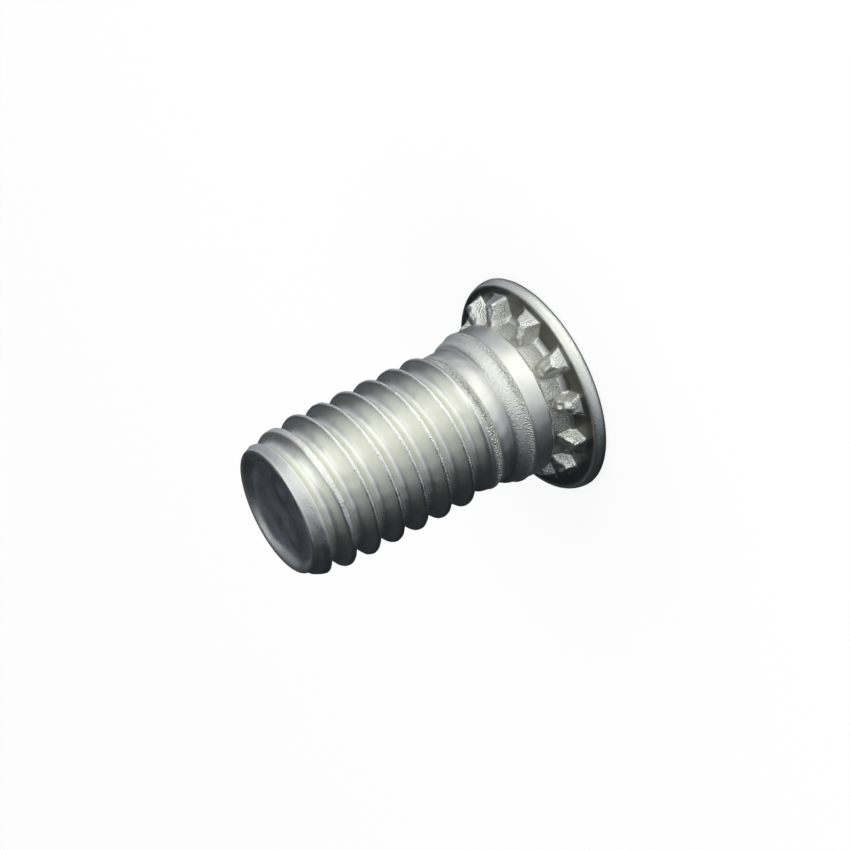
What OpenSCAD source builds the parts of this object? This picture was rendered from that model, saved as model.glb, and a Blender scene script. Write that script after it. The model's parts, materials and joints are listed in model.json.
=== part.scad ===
// Flush head stud for sheet metal, M4 x 0.7, cold headed and rolled from one blank of steel.
// It stands on its head: the outer face of the head is z = 0 and the shank points up +Z.
// The threaded length is drawn plain, at the thread's major diameter. Sizes are millimetres.

/* [Head] */
// Diameter of the flush head
head_d = 5.85; // [5.6:0.05:7.2]
// Thickness of the head at its rim
head_t = 0.32; // [0.26:0.02:0.5]
// Radius of the rounded edge next to the outer face
face_edge_r = 0.07; // [0.04:0.01:0.1]
// Radius of the rounded edge next to the underside
shoulder_r = 0.1; // [0.05:0.01:0.14]

/* [Shank] */
// Overall length, from the outer face of the head to the tip
stud_len = 7.9; // [6.4:0.1:12]
// Major diameter of the thread
thread_d = 3.92; // [3.84:0.02:3.98]
// Length of the run-out, where the shank grows to the thread's full diameter
runout_len = 0.9; // [0.7:0.05:1.2]
// How far the start of the run-out lies below the thread's crests
runout_drop = 0.1; // [0.04:0.01:0.16]

/* [Collar and neck] */
// How far the collar stands out beyond the thread's crests
collar_rise = 0.09; // [0.06:0.01:0.2]
// Length of the collar, which tapers a little towards the thread
collar_len = 0.62; // [0.5:0.02:0.8]
// How far the collar's thread end lies below its widest circle
collar_taper = 0.02; // [0.01:0.01:0.04]
// Radius of the collar's rounded edge next to the neck
collar_edge_r = 0.08; // [0.04:0.01:0.12]
// Length of the slope from the collar down to the run-out
collar_slope_len = 0.56; // [0.4:0.02:0.7]
// Length of the neck, from the underside of the head to the collar
neck_len = 0.64; // [0.6:0.02:0.8]
// Depth of the neck's groove below the collar
neck_depth = 0.25; // [0.2:0.01:0.35]
// How far the foot of the neck spreads where it leaves the head
neck_flare = 0.25; // [0.1:0.01:0.3]

/* [Ribs] */
// Number of clinching ribs under the head
rib_count = 12; // [8:1:14]
// How far the ribs reach out beyond the collar
rib_reach = 0.45; // [0.3:0.01:0.5]
// Width of one rib
rib_w = 0.56; // [0.4:0.02:0.7]
// Height of a rib at its outer end, above the underside of the head
rib_end_h = 0.2; // [0.14:0.01:0.3]
// Height of a rib where it meets the neck, above the underside of the head
rib_root_h = 0.46; // [0.34:0.02:0.5]
// Radius of the rounded top corner at a rib's outer end
rib_corner_r = 0.1; // [0.06:0.01:0.12]
// Angle of the first rib about the axis
rib_angle = 277; // [0:1:359]

/* [Tip] */
// Length of the chamfer at the tip
tip_chamfer_len = 0.44; // [0.3:0.02:0.7]
// How far the chamfer comes in from the thread's crests
tip_chamfer_w = 0.31; // [0.2:0.01:0.5]
// Width of the flat lip round the cup
lip_w = 0.13; // [0.1:0.01:0.2]
// Radius of the lip's rounded outer edge
lip_edge_r = 0.08; // [0.05:0.01:0.09]
// Depth of the rolled cup in the tip
cup_depth = 0.22; // [0.16:0.02:0.3]
// Width of the cup's sloping side
cup_side_w = 0.24; // [0.16:0.02:0.4]
// How much deeper the cup's floor is in the middle than at its edge
cup_floor_sag = 0.06; // [0.04:0.01:0.1]

/* [Hidden] */
$fn = 96;

// Radii of the shank, each one taken from the thread's crests
thread_r = thread_d / 2;
runout_r = thread_r - runout_drop;
collar_r = thread_r + collar_rise;
collar_end_r = collar_r - collar_taper;
neck_r = collar_r - neck_depth;
neck_foot_r = neck_r + neck_flare;
tip_r = thread_r - tip_chamfer_w;
head_r = head_d / 2;

// Heights up the axis, each one standing on the last
inside_head_z = head_t / 2;
collar_z = head_t + neck_len;
slope_z = collar_z + collar_len;
runout_z = slope_z + collar_slope_len;
thread_z = runout_z + runout_len;
chamfer_z = stud_len - tip_chamfer_len;

// The cup in the tip
cup_mouth_r = tip_r - lip_w;
cup_floor_r = cup_mouth_r - cup_side_w;
cup_floor_edge_z = stud_len - cup_depth + cup_floor_sag;
cup_floor_curve_r = (pow(cup_floor_r, 2) + pow(cup_floor_sag, 2)) / (2 * cup_floor_sag);

// The ribs: their plan ends are rounded, so the section behind them reaches a little further
rib_ring_r = collar_r + rib_reach;
rib_section_r = rib_ring_r + 0.04;
rib_end_z = head_t + rib_end_h;
rib_root_z = head_t + rib_root_h;

// Half-section of the head: a disc with both edges rounded
module head_section() {
    polygon([
        [0, 0],
        [head_r - face_edge_r, 0],
        [head_r, face_edge_r],
        [head_r, head_t - shoulder_r],
        [head_r - shoulder_r, head_t],
        [0, head_t]
    ]);
    translate([head_r - face_edge_r, face_edge_r]) circle(r = face_edge_r);
    translate([head_r - shoulder_r, head_t - shoulder_r]) circle(r = shoulder_r);
}

// Half-section of the neck, the collar, the run-out and the plain shank, up to the tip's lip
module shank_section() {
    polygon([
        [0, inside_head_z],
        [neck_foot_r, inside_head_z],
        [neck_foot_r, head_t],
        [neck_r, collar_z],
        [collar_r - collar_edge_r, collar_z],
        [collar_r, collar_z + collar_edge_r],
        [collar_end_r, slope_z],
        [runout_r, runout_z],
        [thread_r, thread_z],
        [thread_r, chamfer_z],
        [tip_r, stud_len - lip_edge_r],
        [tip_r - lip_edge_r, stud_len],
        [0, stud_len]
    ]);
    translate([collar_r - collar_edge_r, collar_z + collar_edge_r]) circle(r = collar_edge_r);
    translate([tip_r - lip_edge_r, stud_len - lip_edge_r]) circle(r = lip_edge_r);
}

// Half-section of the cup: a sloping side and a floor that is part of a large sphere
module cup_section() {
    above_tip = stud_len + 1;
    polygon([
        [0, cup_floor_edge_z],
        [cup_floor_r, cup_floor_edge_z],
        [cup_mouth_r, stud_len],
        [cup_mouth_r, above_tip],
        [0, above_tip]
    ]);
    intersection() {
        translate([0, stud_len - cup_depth + cup_floor_curve_r]) circle(r = cup_floor_curve_r);
        translate([0, stud_len - 2 * cup_depth]) square([cup_mouth_r, cup_depth + cup_floor_sag]);
    }
}

// Half-section that the ribs are cut to: it slopes up from their outer ends to the neck
module rib_section() {
    corner_x = rib_section_r - rib_corner_r;
    polygon([
        [0, inside_head_z],
        [rib_section_r, inside_head_z],
        [rib_section_r, rib_end_z - rib_corner_r],
        [corner_x, rib_end_z],
        [neck_r, rib_root_z],
        [0, rib_root_z]
    ]);
    translate([corner_x, rib_end_z - rib_corner_r]) circle(r = rib_corner_r);
}

// Plan of the ribs: bars with round ends, spaced evenly about the axis
module rib_plan() {
    for (i = [0 : rib_count - 1]) {
        rotate(rib_angle + i * 360 / rib_count) {
            translate([0, -rib_w / 2]) square([rib_ring_r - rib_w / 2, rib_w]);
            translate([rib_ring_r - rib_w / 2, 0]) circle(d = rib_w);
        }
    }
}

module head() {
    rotate_extrude() head_section();
}

module ribs() {
    intersection() {
        rotate_extrude() rib_section();
        linear_extrude(height = collar_z) rib_plan();
    }
}

module shank() {
    rotate_extrude() {
        difference() {
            shank_section();
            cup_section();
        }
    }
}

module stud() {
    color("silver") {
        union() {
            head();
            ribs();
            shank();
        }
    }
}

stud();
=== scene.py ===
"""Looks of the flush head stud: its rolled skin, its zinc finish and the small studio it stands in.

The stud is one cold headed and rolled piece of steel, so it is one closed mesh. Its skin is a grid:
each row runs once round the axis, on the thread along its helix, and each column is an angle about
the axis. The axis is +Z, the outer face of the head is z = 0 and everything is in metres.
"""

import json
import logging
import math
from dataclasses import dataclass
from enum import Enum
from typing import ClassVar

import bmesh
import bpy
import numpy as np
from mathutils import Matrix, Vector


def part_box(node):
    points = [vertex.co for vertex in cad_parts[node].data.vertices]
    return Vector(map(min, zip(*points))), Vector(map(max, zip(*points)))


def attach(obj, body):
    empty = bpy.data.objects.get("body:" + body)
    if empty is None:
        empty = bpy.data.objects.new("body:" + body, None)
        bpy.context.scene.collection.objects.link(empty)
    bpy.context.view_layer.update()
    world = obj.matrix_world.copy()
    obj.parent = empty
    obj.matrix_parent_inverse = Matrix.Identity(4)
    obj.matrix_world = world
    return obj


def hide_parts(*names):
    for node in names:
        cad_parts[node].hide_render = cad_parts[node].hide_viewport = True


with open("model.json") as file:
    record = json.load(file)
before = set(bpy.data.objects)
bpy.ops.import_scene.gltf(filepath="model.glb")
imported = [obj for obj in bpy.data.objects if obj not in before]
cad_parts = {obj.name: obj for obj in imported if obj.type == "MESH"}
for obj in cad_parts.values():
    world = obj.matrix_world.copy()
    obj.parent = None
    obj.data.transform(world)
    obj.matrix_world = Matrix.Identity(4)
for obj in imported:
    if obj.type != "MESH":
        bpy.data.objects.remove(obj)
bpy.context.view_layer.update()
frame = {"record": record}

LOG = logging.getLogger("flush_head_stud")
MM = 0.001
TURN = 2 * math.pi
MARK_PITCH = 0.5 * MM
NOISE_ROUGHNESS = 0.6
Colour = tuple[float, float, float]


class Hand(Enum):
    """Which way a thread climbs."""

    RIGHT = 1
    LEFT = -1


def ease(value: np.ndarray, start: float, end: float) -> np.ndarray:
    """Smooth step: 0 before start, 1 after end, and 3t^2 - 2t^3 of the share t between them.

    Args:
        value: Where to work the step out.
        start: The value at which the step begins.
        end: The value at which it ends, which may be lower than start.

    Returns:
        The step's height, from 0 to 1.
    """
    share = np.clip((value - start) / (end - start), 0.0, 1.0)
    return share * share * (3.0 - 2.0 * share)


def rounded_ramp(value: np.ndarray, blend: float) -> np.ndarray:
    """A ramp that is 0 below zero and the value above it, with a parabola in the corner.

    Args:
        value: Where to work the ramp out.
        blend: Half the length of the parabola, (value + blend)^2 / (4 blend).

    Returns:
        The ramp's height.
    """
    corner = (value + blend) ** 2 / (4.0 * blend)
    return np.where(value <= -blend, 0.0, np.where(value >= blend, value, corner))


@dataclass(frozen=True)
class Unevenness:
    """Slight waviness of formed metal: a seeded sum of cosine waves over a round surface.

    Each wave is cos(m angle + k along + phase), with m a whole number so that it closes on itself.

    Attributes:
        seed: Seed of the waves' headings, phases and lengths.
        height: Root mean square of the offset.
        wavelength: Typical length of a wave.
        radius: Radius of the surface, from which m is worked out.
        waves: How many waves there are.
        length_spread: Shares of the typical length between which the waves' lengths are drawn.
    """

    seed: int
    height: float
    wavelength: float
    radius: float = 2.0 * MM
    waves: int = 28
    length_spread: ClassVar[tuple[float, float]] = (0.7, 1.6)

    def over(self, angle: np.ndarray, along: np.ndarray) -> np.ndarray:
        """Works the waves out.

        Args:
            angle: Angle about the axis, in radians.
            along: Distance along the surface's profile, in metres.

        Returns:
            The offset of the surface, with a root mean square of about the height.
        """
        rng = np.random.default_rng(self.seed)
        heading = rng.uniform(0.0, math.pi, self.waves)
        phase = rng.uniform(0.0, TURN, self.waves)
        length = self.wavelength * rng.uniform(*self.length_spread, self.waves)
        around = np.round(TURN * self.radius / length * np.cos(heading))
        onward = TURN / length * np.sin(heading)
        angle, along = np.broadcast_arrays(angle, along)
        wave = np.cos(angle[..., None] * around + along[..., None] * onward + phase)
        return self.height * math.sqrt(2.0 / self.waves) * wave.sum(axis=-1)


@dataclass
class Strip:
    """A band of the skin: rows by columns of points, and how the metal lies and looks there.

    Attributes:
        angle: Angle about the axis, in radians. The last column repeats the first, a turn on.
        radius: Distance from the axis.
        height: Distance up the axis.
        phase: The lay of the forming marks: they run where this angle, in radians, is constant.
        frost: How coarse the surface is, from 0 to 1.
        worn: How far a crest was burnished, from 0 to 1.
        dull: How far the surface is dulled, as in the cup, from 0 to 1.
        grime_and_shade: How far the surface is darkened in the recesses, from 0 to 1: painted shade, with
            a little residue.
        across_marks: How fast the lay changes across the forming marks.
        drift: How fast the lay changes along x, y and z, for each millimetre.
    """

    angle: np.ndarray
    radius: np.ndarray
    height: np.ndarray
    phase: np.ndarray
    frost: np.ndarray | float = 0.0
    worn: np.ndarray | float = 0.0
    dull: np.ndarray | float = 0.0
    grime_and_shade: np.ndarray | float = 0.0
    across_marks: ClassVar[float] = 5.0
    drift: ClassVar[tuple[float, float, float]] = (0.7, 0.5, 1.5)

    def __post_init__(self) -> None:
        """Spreads every field over the same rows and columns."""
        shape = np.broadcast_shapes(*(np.shape(v) for v in vars(self).values()))
        for name, value in vars(self).items():
            setattr(self, name, np.broadcast_to(value, shape).astype(float))

    def points(self) -> np.ndarray:
        """Returns the points as rows, columns and x, y, z."""
        return about_axis(self.radius, self.angle, self.height)

    def lay(self) -> np.ndarray:
        """Works out the lay: the phase's cosine and sine, and a slow drift over x, y and z.

        Returns:
            A vector that hardly changes along the forming marks, and fast across them.
        """
        points = self.points() / MM
        along = self.drift[0] * points[..., 0] + self.drift[1] * points[..., 1]
        along = along + self.drift[2] * points[..., 2]
        ring = [self.across_marks * np.cos(self.phase), self.across_marks * np.sin(self.phase)]
        return np.stack([*ring, along], axis=-1)


class Skin:
    """Gathers strips into one closed mesh."""

    def __init__(self) -> None:
        """Starts with no points and no faces."""
        self.strips: list[Strip] = []
        self.corners: list[np.ndarray] = []
        self.sizes: list[np.ndarray] = []
        self.count = 0

    def add(self, strip: Strip) -> None:
        """Adds a strip and joins it to the one before. One may have a multiple of the other's columns.

        Args:
            strip: The next band of the skin, from the head's outer face towards the tip's cup.
        """
        ids = self.count + np.arange(strip.radius.size).reshape(strip.radius.shape)
        if self.strips:
            before = self.strips[-1].radius.shape
            last_row = self.count - before[1] + np.arange(before[1])
            self._join(last_row, ids[0])
        self._keep(quads(ids).reshape(-1, 4))
        self.strips.append(strip)
        self.count += ids.size

    def _join(self, lower: np.ndarray, upper: np.ndarray) -> None:
        """Covers the gap between two rows, of which one may have a multiple of the other's edges.

        Each face takes one edge of the row with fewer points and the whole run of edges opposite.

        Args:
            lower: Point numbers of the row nearer the head's outer face.
            upper: Point numbers of the next row.
        """
        many, few = (lower, upper) if len(lower) >= len(upper) else (upper, lower)
        ratio = (len(many) - 1) // (len(few) - 1)
        run = [many[k::ratio][: len(few) - 1] for k in range(ratio)] + [many[ratio::ratio]]
        faces = np.stack(run + [few[1:], few[:-1]], axis=-1)
        self._keep(faces if many is lower else faces[:, ::-1])

    def _keep(self, faces: np.ndarray) -> None:
        """Keeps faces that have the same number of corners each."""
        self.corners.append(faces.ravel())
        self.sizes.append(np.full(len(faces), faces.shape[1]))

    def mesh(self, name: str, merge: float) -> bpy.types.Mesh:
        """Makes the mesh, with its seam and poles closed by merging the points that coincide.

        Args:
            name: The mesh's name.
            merge: Points nearer than this become one.

        Returns:
            A smooth mesh with point attributes frost, worn, dull, grime_and_shade and lay.
        """
        mesh = bpy.data.meshes.new(name)
        corners, sizes = np.concatenate(self.corners), np.concatenate(self.sizes)
        points = np.concatenate([s.points().reshape(-1, 3) for s in self.strips])
        mesh.vertices.add(len(points))
        mesh.vertices.foreach_set("co", points.astype(np.float32).ravel())
        mesh.loops.add(len(corners))
        mesh.loops.foreach_set("vertex_index", corners.astype(np.int32))
        mesh.polygons.add(len(sizes))
        mesh.polygons.foreach_set("loop_start", (np.cumsum(sizes) - sizes).astype(np.int32))
        mesh.update(calc_edges=True)
        # The darkening attribute carries painted shade in the recesses, with a little residue.
        for key in ("frost", "worn", "dull", "grime_and_shade"):
            values = np.concatenate([getattr(s, key).ravel() for s in self.strips])
            made = mesh.attributes.new(key, "FLOAT", "POINT")
            made.data.foreach_set("value", values.astype(np.float32))
        lay = np.concatenate([s.lay().reshape(-1, 3) for s in self.strips])
        made = mesh.attributes.new("lay", "FLOAT_VECTOR", "POINT")
        made.data.foreach_set("vector", lay.astype(np.float32).ravel())
        work = bmesh.new()
        work.from_mesh(mesh)
        bmesh.ops.remove_doubles(work, verts=work.verts, dist=merge)
        bmesh.ops.dissolve_degenerate(work, dist=merge, edges=work.edges)
        work.to_mesh(mesh)
        work.free()
        mesh.polygons.foreach_set("use_smooth", np.ones(len(mesh.polygons), bool))
        mesh.validate()
        mesh.update()
        return mesh


def columns(count: int) -> np.ndarray:
    """Returns the angles of a strip's columns, a whole turn from 0 to 360 degrees."""
    return np.linspace(0.0, TURN, count + 1)[None, :]


def shares(rows: int) -> np.ndarray:
    """Returns the shares of a run at which its rows lie, from just after 0 up to 1, as a column."""
    return np.linspace(0.0, 1.0, rows + 1)[1:, None]


def arc(centre: tuple[float, float], radius: float, start: float, end: float, steps: int) -> np.ndarray:
    """Points of an arc in the half-section, centre plus radius at each angle.

    Args:
        centre: Radius and height of the arc's centre.
        radius: The arc's radius.
        start: First angle in degrees, where 0 points away from the axis and 90 up.
        end: Last angle in degrees.
        steps: How many pieces the arc has.

    Returns:
        Pairs of radius and height.
    """
    turn = np.radians(np.linspace(start, end, steps + 1))
    return np.stack([centre[0] + radius * np.cos(turn), centre[1] + radius * np.sin(turn)], -1)


def quads(ids: np.ndarray) -> np.ndarray:
    """Returns the four-sided faces of a grid of point numbers, by rows, columns and corners."""
    return np.stack([ids[:-1, :-1], ids[:-1, 1:], ids[1:, 1:], ids[1:, :-1]], axis=-1)


def about_axis(radius: np.ndarray, angle: np.ndarray, height: np.ndarray) -> np.ndarray:
    """Returns points as x, y, z: radius times the angle's cosine and sine, and the height."""
    return np.stack([radius * np.cos(angle), radius * np.sin(angle), height], axis=-1)


def add_object(name: str, data: bpy.types.ID) -> bpy.types.Object:
    """Makes an object and links it to the scene.

    Args:
        name: The object's name.
        data: Its mesh, lamp or camera.

    Returns:
        The object.
    """
    made = bpy.data.objects.new(name, data)
    bpy.context.scene.collection.objects.link(made)
    return made


def phase_along(radius: np.ndarray, height: np.ndarray) -> np.ndarray:
    """Returns the lay of marks that run round in circles: a turn for each pitch of height - radius."""
    return TURN * (height - radius) / MARK_PITCH


@dataclass
class Head:
    """The flush head: a thin disc with both edges rounded, lying on its outer face.

    Attributes:
        radius: Radius of the rim.
        thickness: Height of the underside above the outer face.
        face_edge: Rounding next to the outer face.
        under_angle: Angle in degrees at which the edge next to the underside ends in a corner.
        corner: Width of the narrow flat just inside that corner, which keeps it crisp.
        face_rows: Rows on the outer face.
        edge_rows: Rows on each edge.
        rim_start: Share of the radius from which the rim is uneven.
        rim_frost: Frost of the rim.
        rim_room: How far the rim is set back, as a share of its waves' height, to keep its radius.
        rim_waves: Unevenness of the rim.
    """

    radius: float
    thickness: float
    face_edge: float = 0.07 * MM
    under_angle: float = 38.0
    corner: float = 0.008 * MM
    face_rows: int = 9
    edge_rows: int = 8
    rim_start: float = 0.9
    rim_frost: float = 0.08
    rim_room: float = 0.5
    rim_waves: Unevenness = Unevenness(seed=3, height=0.0022 * MM, wavelength=0.45 * MM)

    @property
    def under_edge(self) -> float:
        """Radius of the arc next to the underside, which takes up the whole height of the rim."""
        return (self.thickness - self.face_edge) / math.sin(math.radians(self.under_angle))

    @property
    def flat_radius(self) -> float:
        """Outer radius of the flat underside."""
        return self.radius - self.under_edge * (1.0 - math.cos(math.radians(self.under_angle)))

    def strip(self, count: int) -> Strip:
        """Builds the outer face, the rim and its two rounded edges, from the face's centre.

        The half-section is a straight line, a quarter circle and an arc that ends in a corner.

        Args:
            count: How many columns a whole turn has.

        Returns:
            The strip, up to the inner end of the edge next to the underside.
        """
        flat_end = self.radius - self.face_edge
        face_radii = np.linspace(0.0, flat_end, self.face_rows)
        face = np.stack([face_radii, np.zeros(self.face_rows)], -1)
        lower = arc((flat_end, self.face_edge), self.face_edge, -90, 0, self.edge_rows)
        upper_centre = (self.radius - self.under_edge, self.face_edge)
        upper = arc(upper_centre, self.under_edge, 0, self.under_angle, self.edge_rows)
        corner = np.array([[self.flat_radius - self.corner, self.thickness]])
        section = np.concatenate([face, lower[1:], upper[1:], corner])
        radius, height = section[:, :1], section[:, 1:]
        angle = columns(count)
        on_rim = ease(radius, self.rim_start * self.radius, self.radius)
        waves = self.rim_waves.over(angle, height) * on_rim
        low = self.rim_room * self.rim_waves.height
        return Strip(
            angle=angle,
            radius=radius - low * on_rim + np.minimum(waves, low),
            height=height,
            phase=phase_along(radius, height),
            frost=self.rim_frost * on_rim,
        )


@dataclass
class Ribs:
    """The clinching ribs: short blocks that stand on the head's underside round the neck.

    Attributes:
        floor: Height of the head's underside.
        outer: Outer radius of the flat underside.
        neck: The groove that the ribs run into.
        count: How many ribs there are.
        first: Angle of the first rib, in radians.
        ring: Radius of the circle that the ribs' outer ends lie on.
        offset: How far that circle's middle lies off the axis.
        offset_angle: Which way it lies off the axis, in radians.
        offset_rise: How much higher the ribs are on that side.
        width: Width of a rib.
        end_height: Height of a rib at its outer end.
        root_height: Height of a rib at the root radius.
        root_radius: Radius at which a rib ends in the neck.
        side_run: How far in a rib's side slopes.
        end_run: How far in a rib's outer end slopes.
        end_lead: How far outside the ring the close rows start.
        end_band: How far in from there the close rows go.
        crown: How much lower a rib's sides are than its middle line.
        root_fillet: Height and width of the fillet at the neck's foot.
        seed: Seed of the differences between the ribs.
        turn_spread: Angles in degrees between which a rib is turned about the axis.
        length_spread: Distances between which a rib's outer end lies outside the ring.
        width_spread: Lengths between which a rib is wider than the usual width.
        height_spread: Factors between which a rib's height is drawn.
        light_gap_seed: Seed of which gaps get the lighter painted shade.
        light_gap_share: About what share of the gaps gets the lighter painted shade.
        light_gap_shade: Painted shade in a lighter gap.
        dark_gap_shade: Painted shade in any other gap.
        shade_from_neck: Radii between which the painted shade sets in, from the neck outwards.
        shade_toward_rim: Radii between which every gap gets the dark painted shade, towards the rim.
        shade_rim_fade: Width next to the head's edge over which the painted shade ends.
        gap_edge: Distance from a rib's edge, on both sides of it, over which the painted shade sets in.
        gap_frost: Frost of the gaps.
        top_frost: Frost of the ribs.
        top_edge: Distances inside a rib's edge between which its frost sets in.
        worn_rise: Distances inside a rib's edge between which it turns burnished.
        worn_fall: Distances inside a rib's edge, the farther first, between which its unworn middle
            turns burnished.
        flat_rows: Rows on the flat underside.
        end_rows: Rows on the ribs' outer ends.
        inner_rows: Rows from there in to the neck.
        lumps: Unevenness of a rib's top.
    """

    floor: float
    outer: float
    neck: "Neck"
    count: int = 12
    first: float = math.radians(277)
    ring: float = 2.55 * MM
    offset: float = 0.09 * MM
    offset_angle: float = math.radians(350)
    offset_rise: float = 0.05 * MM
    width: float = 0.64 * MM
    end_height: float = 0.31 * MM
    root_height: float = 0.50 * MM
    root_radius: float = 1.86 * MM
    side_run: float = 0.16 * MM
    end_run: float = 0.11 * MM
    end_lead: float = 0.03 * MM
    end_band: float = 0.15 * MM
    crown: float = 0.07 * MM
    root_fillet: float = 0.12 * MM
    seed: int = 11
    turn_spread: tuple[float, float] = (-1.2, 1.2)
    length_spread: tuple[float, float] = (-0.03 * MM, 0.02 * MM)
    width_spread: tuple[float, float] = (-0.05 * MM, 0.05 * MM)
    height_spread: tuple[float, float] = (0.90, 1.06)
    light_gap_seed: int = 10
    light_gap_share: float = 0.15
    light_gap_shade: float = 0.35
    dark_gap_shade: float = 0.94
    shade_from_neck: tuple[float, float] = (1.98 * MM, 2.10 * MM)
    shade_toward_rim: tuple[float, float] = (2.40 * MM, 2.50 * MM)
    shade_rim_fade: float = 0.03 * MM
    gap_edge: float = 0.04 * MM
    gap_frost: float = 0.05
    top_frost: float = 0.12
    top_edge: tuple[float, float] = (0.02 * MM, 0.10 * MM)
    worn_rise: tuple[float, float] = (0.0, 0.06 * MM)
    worn_fall: tuple[float, float] = (0.14 * MM, 0.08 * MM)
    flat_rows: int = 3
    end_rows: int = 12
    inner_rows: int = 14
    lumps: Unevenness = Unevenness(seed=17, height=0.020 * MM, wavelength=0.34 * MM, radius=2.3 * MM)

    def __post_init__(self) -> None:
        """Draws how each rib differs a little from the others."""
        rng = np.random.default_rng(self.seed)
        self.turned = np.radians(rng.uniform(*self.turn_spread, self.count))
        self.longer = rng.uniform(*self.length_spread, self.count)
        self.wider = rng.uniform(*self.width_spread, self.count)
        self.taller = rng.uniform(*self.height_spread, self.count)
        # Which gaps between the ribs get the lighter painted shade, and which the darker.
        clean = np.random.default_rng(self.light_gap_seed).uniform(0.0, 1.0, self.count) < self.light_gap_share
        self.gap_shade_levels = np.where(clean, self.light_gap_shade, self.dark_gap_shade)

    def ring_at(self, angle: np.ndarray) -> np.ndarray:
        """Returns the radius of the ribs' outer ends, a ring whose middle lies off the axis."""
        return self.ring + self.offset * np.cos(angle - self.offset_angle)

    def inside(self, radius: np.ndarray, angle: np.ndarray) -> tuple[np.ndarray, ...]:
        """How far a point lies inside the sides and the outer end of the nearest rib.

        Args:
            radius: Distance from the axis.
            angle: Angle about the axis, in radians.

        Returns:
            The distance inside the sides, half the width less the distance from the rib's middle
            line, the distance inside the end, and the height factor of that rib.
        """
        share = (angle - self.first) / TURN * self.count
        nearest = np.round(share).astype(int) % self.count
        off = (share - np.round(share)) * TURN / self.count - self.turned[nearest]
        half = (self.width + self.wider[nearest]) / 2
        along, aside = radius * np.cos(off), radius * np.sin(off)
        end = self.ring_at(angle) + self.longer[nearest] - along
        return half - np.abs(aside), end, self.taller[nearest]

    def height(self, radius: np.ndarray, angle: np.ndarray) -> np.ndarray:
        """Height of the underside over the plan: its flat, and the ribs that slope up to the neck.

        A rib is a straight slope with a low crown and lumps, times a smooth step across its side and
        one across its outer end. Ribs are a little higher where their ring lies farther out.

        Args:
            radius: Distance from the axis.
            angle: Angle about the axis, in radians.

        Returns:
            The height above the head's outer face.
        """
        side, end, factor = self.inside(radius, angle)
        ring = self.ring_at(angle)
        share = np.clip((ring - radius) / (ring - self.root_radius), 0.0, 1.0)
        top = self.end_height + (self.root_height - self.end_height) * share
        top = top + self.offset_rise * np.cos(angle - self.offset_angle)
        mask = ease(side, 0.0, self.side_run) * ease(end, 0.0, self.end_run)
        crown = self.crown * (ease(side, 0.0, self.width / 2) - 1.0)
        lumps = self.lumps.over(angle, radius) * mask
        foot_start = self.neck.foot_radius + self.root_fillet
        foot = self.root_fillet * ease(radius, foot_start, self.neck.foot_radius)
        return self.floor + mask * (top * factor + crown) + (1 - mask) * foot + lumps

    def strip(self, count: int) -> Strip:
        """Builds the underside of the head and the ribs on it, from the rim in to the neck.

        Rows stand close together where the ribs' end faces are, so that those are steep.

        Args:
            count: How many columns a whole turn has.

        Returns:
            The strip, whose last row lies on the neck.
        """
        angle = columns(count)
        band_start = self.ring_at(angle) + self.end_lead
        band_end = band_start - self.end_band
        flat = self.outer + (band_start - self.outer) * shares(self.flat_rows)
        ends = band_start - self.end_band * shares(self.end_rows)
        side = self.inside(np.array(self.neck.foot_radius), angle)[0]
        on_rib = ease(side, 0.0, self.side_run)
        inner_end = self.neck.foot_radius + (self.root_radius - self.neck.foot_radius) * on_rib
        inner = band_end + (inner_end - band_end) * shares(self.inner_rows)
        radius = np.concatenate([flat, ends, inner])
        height = self.height(radius, angle)
        side, end, _ = self.inside(radius, angle)
        inward = np.minimum(side, end)
        return Strip(
            angle=angle,
            radius=radius,
            height=height,
            phase=phase_along(radius, height),
            frost=self.gap_frost + (self.top_frost - self.gap_frost) * ease(inward, *self.top_edge),
            worn=ease(inward, *self.worn_rise) * ease(inward, *self.worn_fall),
            # Painted shade in the gaps between the ribs, darkest towards the rim.
            grime_and_shade=self.painted_gap_shade(radius, angle, inward),
        )

    def painted_gap_shade(self, radius: np.ndarray, angle: np.ndarray, inward: np.ndarray) -> np.ndarray:
        """Painted shade in the gaps: smooth steps at the ribs' edges, at the neck and at the head's edge.

        Args:
            radius: Distance from the axis.
            angle: Angle about the axis, in radians.
            inward: How far inside the edge of a rib a point lies.

        Returns:
            The painted shade, from 0 to 1.
        """
        beside = 1.0 - ease(inward, -self.gap_edge, self.gap_edge)
        from_neck = ease(radius, *self.shade_from_neck)
        from_rim = ease(radius, self.outer, self.outer - self.shade_rim_fade)
        gap = np.floor((angle - self.first) / TURN * self.count).astype(int) % self.count
        return beside * from_neck * from_rim * np.maximum(self.gap_shade_levels[gap], ease(radius, *self.shade_toward_rim))


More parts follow.
